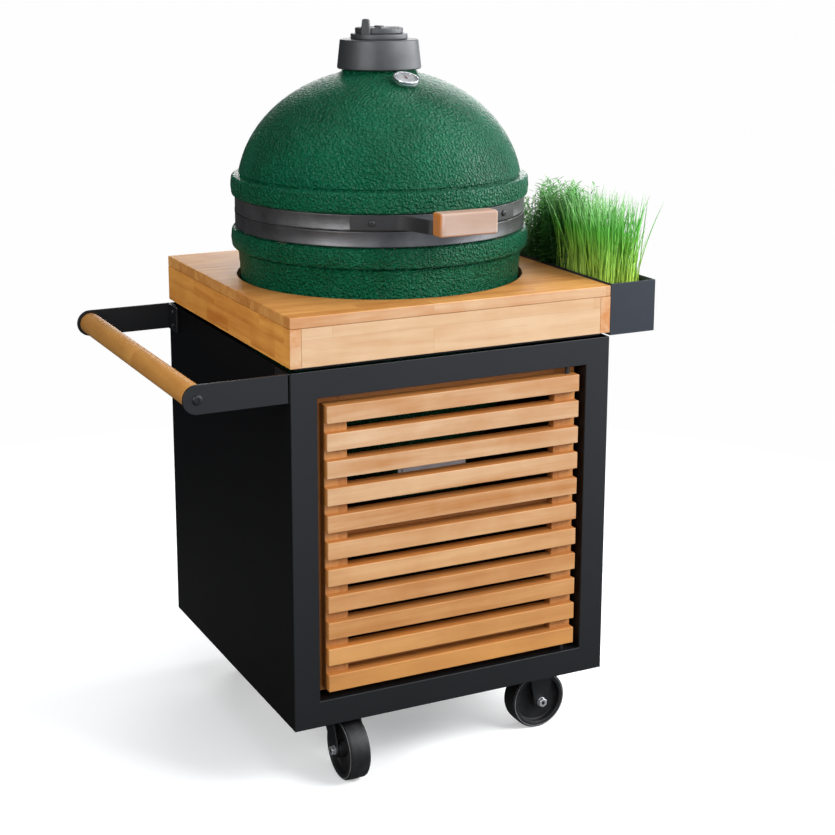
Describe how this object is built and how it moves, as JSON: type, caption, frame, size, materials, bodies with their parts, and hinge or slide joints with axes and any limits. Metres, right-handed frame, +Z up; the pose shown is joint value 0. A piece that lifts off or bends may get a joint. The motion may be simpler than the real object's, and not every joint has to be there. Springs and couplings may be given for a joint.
{
  "type": "kamado ceramic grill",
  "caption": "Ceramic charcoal grill with a hinged dome, set in a wheeled steel cabinet with a wooden worktop, slatted door, push bar and herb planter.",
  "frame": {"origin": "on the floor under the middle of the bounding box, between the casters", "axes": "+Z up, +X to the right seen from the door, +Y towards the back, where the dome's hinge is"},
  "size_m": [0.8856, 0.652, 1.2958],
  "materials": {
    "green_glaze": "glossy glaze with an orange-peel surface",
    "fire_clay": "unglazed, rough",
    "band_steel": "satin grey coating",
    "cap_metal": "satin grey powder coat on a casting",
    "cast_iron": "matt, rough",
    "stainless": "brushed",
    "felt": "pressed felt",
    "dark_steel": "satin dark powder coat",
    "planter_steel": "satin slate powder coat",
    "worktop_wood": "oiled hardwood boards",
    "bar_wood": "oiled hardwood",
    "door_wood": "oiled hardwood",
    "soil": "loose potting soil, matt",
    "leaf": "soft leaves",
    "tyre_rubber": "matt black",
    "bright_steel": "bright plated",
    "glass": "clear"
  },
  "bodies": {
    "cart": {"cabinet_left": "dark_steel", "cabinet_right": "dark_steel", "cabinet_back": "dark_steel", "cabinet_floor": "dark_steel", "front_frame": "dark_steel", "egg_shelf": "dark_steel", "top_spacer": "dark_steel", "apron_left": "worktop_wood", "apron_right": "worktop_wood", "apron_front": "worktop_wood", "apron_back": "worktop_wood", "top_slab": "worktop_wood", "planter_box": "planter_steel", "planter_soil": "soil", "chives": "leaf", "leafy_herbs": "leaf", "push_arm_front": "dark_steel", "push_arm_rear": "dark_steel", "push_bar": "bar_wood", "base_shell": "green_glaze", "base_gasket": "felt", "fire_box": "fire_clay", "fire_ring": "fire_clay", "charcoal_grate": "cast_iron", "cooking_grid": "stainless", "draft_frame": "stainless", "lower_band": "band_steel", "hinge_base_bracket": "band_steel", "hinge_pin": "bright_steel", "fixed_front_bracket": "dark_steel", "fixed_front_axle": "bright_steel", "fixed_rear_bracket": "dark_steel", "fixed_rear_axle": "bright_steel", "swivel_front_plate": "dark_steel", "swivel_rear_plate": "dark_steel"},
    "dome": {"dome_shell": "green_glaze", "dome_gasket": "felt", "upper_band": "band_steel", "hinge_dome_bracket": "band_steel", "handle_bracket": "band_steel", "handle_grip": "bar_wood", "thermometer_case": "bright_steel", "thermometer_lens": "glass", "cap_collar": "cap_metal"},
    "needle": {"thermometer_needle": "dark_steel"},
    "cap": {"cap_disc": "cap_metal"},
    "vent": {"vent_wheel": "cap_metal"},
    "draft": {"draft_door": "stainless"},
    "door": {"door_slats": "door_wood", "door_back_frame": "door_wood", "door_pin_lower": "bright_steel", "door_pin_upper": "bright_steel"},
    "swivel_front": {"swivel_front_fork": "dark_steel", "swivel_front_axle": "bright_steel"},
    "swivel_rear": {"swivel_rear_fork": "dark_steel", "swivel_rear_axle": "bright_steel"},
    "swivel_front_roller": {"swivel_front_wheel": "tyre_rubber"},
    "swivel_rear_roller": {"swivel_rear_wheel": "tyre_rubber"},
    "fixed_front_roller": {"fixed_front_wheel": "tyre_rubber"},
    "fixed_rear_roller": {"fixed_rear_wheel": "tyre_rubber"}
  },
  "joints": [
    {"name": "dome_hinge", "type": "hinge", "parent": "cart", "child": "dome", "pos_m": [0.0447, 0.312, 0.9556], "axis": [-1, 0, 0], "range_deg": [0, 70]},
    {"name": "needle_turn", "type": "hinge", "parent": "dome", "child": "needle", "pos_m": [0.0447, -0.085, 1.18892], "axis": [0, -0.3525, 0.9358], "range_deg": [-135, 135]},
    {"name": "cap_swing", "type": "hinge", "parent": "dome", "child": "cap", "pos_m": [0.08536, 0.06066, 1.26], "axis": [0, 0, 1], "range_deg": [-100, 0]},
    {"name": "vent_turn", "type": "hinge", "parent": "cap", "child": "vent", "pos_m": [0.0447, 0.02, 1.275], "axis": [0, 0, 1], "range_deg": [0, 30]},
    {"name": "draft_slide", "type": "slide", "parent": "cart", "child": "draft", "axis": [1, 0, 0], "range_m": [0, 0.1]},
    {"name": "door_hinge", "type": "hinge", "parent": "cart", "child": "door", "pos_m": [0.2707, -0.2735, 0.1818], "axis": [0, 0, 1], "range_deg": [0, 110]},
    {"name": "swivel_front_turn", "type": "hinge", "parent": "cart", "child": "swivel_front", "pos_m": [-0.1468, -0.219, 0.114], "axis": [0, 0, 1], "continuous": true},
    {"name": "swivel_front_roll", "type": "hinge", "parent": "swivel_front", "child": "swivel_front_roller", "pos_m": [-0.1468, -0.255, 0.055], "axis": [1, 0, 0], "continuous": true},
    {"name": "fixed_front_roll", "type": "hinge", "parent": "cart", "child": "fixed_front_roller", "pos_m": [0.2482, -0.219, 0.055], "axis": [0, 1, 0], "continuous": true},
    {"name": "swivel_rear_turn", "type": "hinge", "parent": "cart", "child": "swivel_rear", "pos_m": [-0.1468, 0.259, 0.114], "axis": [0, 0, 1], "continuous": true},
    {"name": "swivel_rear_roll", "type": "hinge", "parent": "swivel_rear", "child": "swivel_rear_roller", "pos_m": [-0.1468, 0.223, 0.055], "axis": [1, 0, 0], "continuous": true},
    {"name": "fixed_rear_roll", "type": "hinge", "parent": "cart", "child": "fixed_rear_roller", "pos_m": [0.2482, 0.259, 0.055], "axis": [0, 1, 0], "continuous": true}
  ]
}
